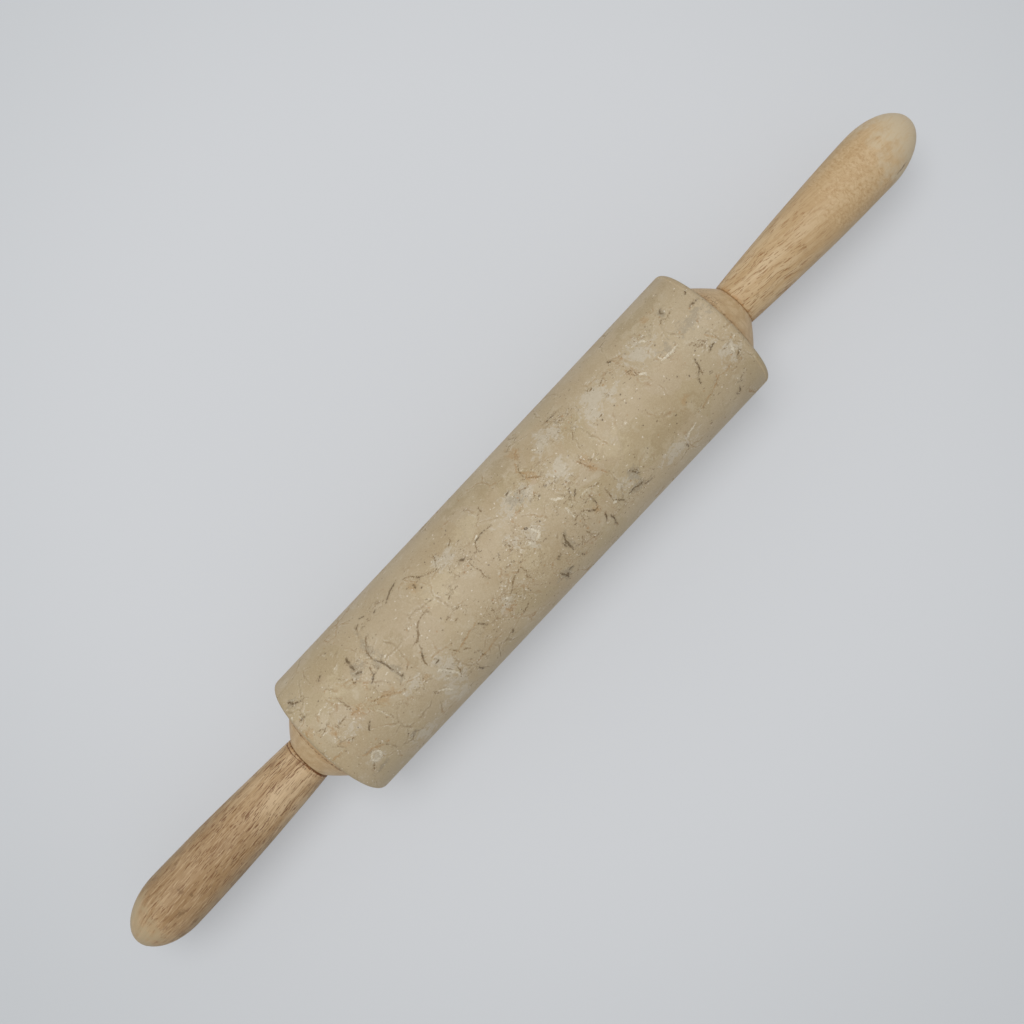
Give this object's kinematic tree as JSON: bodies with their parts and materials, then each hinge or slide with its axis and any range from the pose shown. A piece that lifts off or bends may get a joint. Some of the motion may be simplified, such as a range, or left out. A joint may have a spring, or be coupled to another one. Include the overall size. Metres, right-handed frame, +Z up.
{
  "type": "marble rolling pin",
  "caption": "Rolling pin with a polished marble roller, turned wooden collars and wooden handles joined by a steel rod on which the roller spins.",
  "frame": {"origin": "middle of the roller on the axis of the rod", "axes": "+X along the rod towards the plain-necked handle, +Z up from the worktop"},
  "size_m": [0.4828, 0.065, 0.065],
  "materials": {
    "marble": "polished beige limestone marble with rust-brown veins",
    "collar_wood": "turned and sanded beech, matt oil",
    "handle_wood": "turned and sanded beech with open pores, matt oil",
    "nylon": "natural nylon",
    "steel": "bright drawn",
    "brass": "as turned"
  },
  "bodies": {
    "handles_and_axle": {"axle_rod": "steel", "left_handle": "handle_wood", "right_handle": "handle_wood", "left_insert": "brass", "right_insert": "brass", "left_washer": "steel", "right_washer": "steel"},
    "roller": {"marble_roller": "marble", "left_collar": "collar_wood", "right_collar": "collar_wood", "left_bush": "nylon", "right_bush": "nylon"}
  },
  "joints": [
    {"name": "roller_spin", "type": "hinge", "parent": "handles_and_axle", "child": "roller", "pos_m": [0, 0, 0], "axis": [1, 0, 0], "continuous": true}
  ]
}
